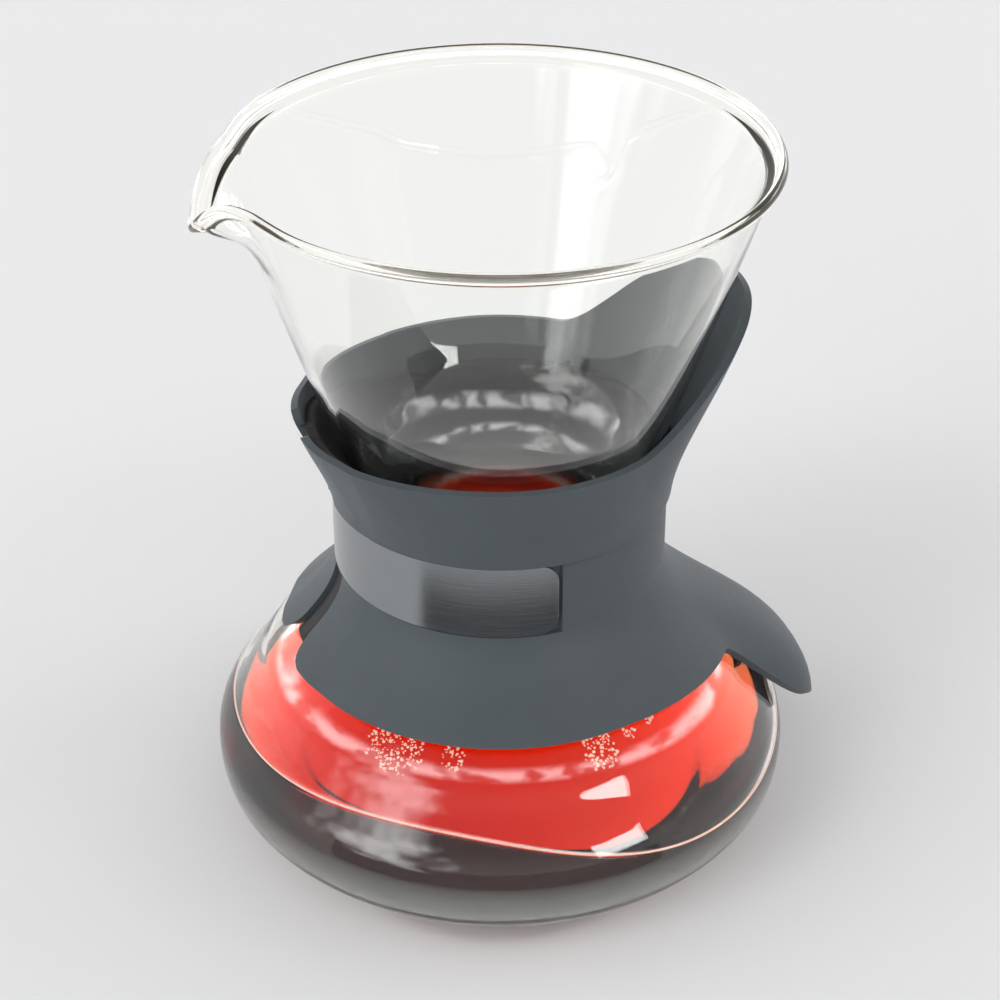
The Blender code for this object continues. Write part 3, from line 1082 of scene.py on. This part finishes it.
def world_light():
    """Soft light all round that the glass mirrors, and a plain backdrop for the camera."""
    world = bpy.data.worlds.new("studio")
    world.use_nodes = True
    tree = world.node_tree
    background = tree.nodes["Background"]
    background.inputs["Color"].default_value = (*world_colour, 1.0)
    way = tree.nodes.new("ShaderNodeTexCoord").outputs["Generated"]
    split = tree.nodes.new("ShaderNodeSeparateXYZ")
    tree.links.new(way, split.inputs["Vector"])
    base = ranged(tree, split.outputs["Z"], horizon_light, zenith_light)
    texture = tree.nodes.new("ShaderNodeTexNoise")
    texture.inputs["Scale"].default_value = wave_scale
    tree.links.new(way, texture.inputs["Vector"])
    waves = texture.outputs["Fac"]
    lean = measured(tree, "DOT_PRODUCT", way, ring_axis)
    rise = faded(tree, lean, *ring_rise, 0.0, ring_light)
    fall = faded(tree, lean, *ring_fall, 1.0, 0.0)
    broken = faded(tree, waves, *ring_waves, ring_gap_share, 1.0)
    ring = arithmetic(tree, "MULTIPLY", arithmetic(tree, "MULTIPLY", rise, fall), broken)
    uneven = ranged(tree, waves, -side_unevenness, side_unevenness)
    edge = arithmetic(tree, "ADD", measured(tree, "DISTANCE", way, side_place), uneven)
    side = faded(tree, edge, *side_fade, side_light, 0.0)
    total = arithmetic(tree, "ADD", arithmetic(tree, "ADD", base, ring), side)
    path = tree.nodes.new("ShaderNodeLightPath")
    unseen = ranged(tree, path.outputs["Is Camera Ray"], 1.0, 0.0)
    backdrop = ranged(tree, path.outputs["Is Camera Ray"], 0.0, backdrop_light)
    shown = arithmetic(tree, "ADD", arithmetic(tree, "MULTIPLY", total, unseen), backdrop)
    tree.links.new(shown, background.inputs["Strength"])
    bpy.context.scene.world = world


def floor_finish():
    """Plain pale floor that glows where it is seen through glass."""
    made, tree, output = new_material("studio_floor")
    shader = principled(tree, output, Base_Color=floor_colour, Roughness=floor_roughness)
    shader.inputs["Specular IOR Level"].default_value = floor_specular
    through = tree.nodes.new("ShaderNodeEmission")
    through.inputs["Color"].default_value = (*floor_colour, 1.0)
    place = tree.nodes.new("ShaderNodeTexCoord")
    away = measured(tree, "DISTANCE", place.outputs["Object"], under_place)
    near = faded(tree, away, *under_fade, under_light, far_light / under_gain)
    gain = faded(tree, away, *under_rise, 1.0, under_gain)
    tree.links.new(arithmetic(tree, "MULTIPLY", near, gain), through.inputs["Strength"])
    path = tree.nodes.new("ShaderNodeLightPath")
    blend = tree.nodes.new("ShaderNodeMixShader")
    tree.links.new(path.outputs["Is Transmission Ray"], blend.inputs["Fac"])
    tree.links.new(shader.outputs["BSDF"], blend.inputs[1])
    tree.links.new(through.outputs["Emission"], blend.inputs[2])
    tree.links.new(blend.outputs["Shader"], output.inputs["Surface"])
    return made


def studio_floor():
    """Square floor, a hair below the foot of the glass."""
    mesh = bpy.data.meshes.new("studio_floor")
    corners = [(-floor_reach, -floor_reach, 0.0), (floor_reach, -floor_reach, 0.0)]
    corners += [(floor_reach, floor_reach, 0.0), (-floor_reach, floor_reach, 0.0)]
    mesh.from_pydata(corners, [], [(0, 1, 2, 3)])
    mesh.materials.append(floor_finish())
    floor = bpy.data.objects.new("studio_floor", mesh)
    floor.location.z = -floor_drop
    bpy.context.scene.collection.objects.link(floor)


def camera():
    """Camera at the photograph's angle, aimed at the vessel's axis."""
    lens = bpy.data.cameras.new("camera")
    lens.sensor_width = camera_sensor
    lens.lens = camera_lens
    obj = bpy.data.objects.new("camera", lens)
    sine = math.sin(camera_turn)
    cosine = math.cos(camera_turn)
    obj.location = (-camera_distance * sine, -camera_distance * cosine, camera_height)
    level = math.cos(camera_fall)
    ahead = Vector((level * sine, level * cosine, -math.sin(camera_fall)))
    obj.rotation_mode = "QUATERNION"
    obj.rotation_quaternion = ahead.to_track_quat("-Z", "Y")
    bpy.context.scene.collection.objects.link(obj)
    bpy.context.scene.camera = obj


for obj in list(bpy.data.objects):
    bpy.data.objects.remove(obj, do_unlink=True)
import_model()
camera()
world_light()
window_light()
dark_flag()
studio_floor()
carafe_glass()
coffee()
droplets()
meniscus_highlight_line()
grip_liner()
grip_jacket()
band_clip()
bpy.context.scene.view_settings.view_transform = "Standard"
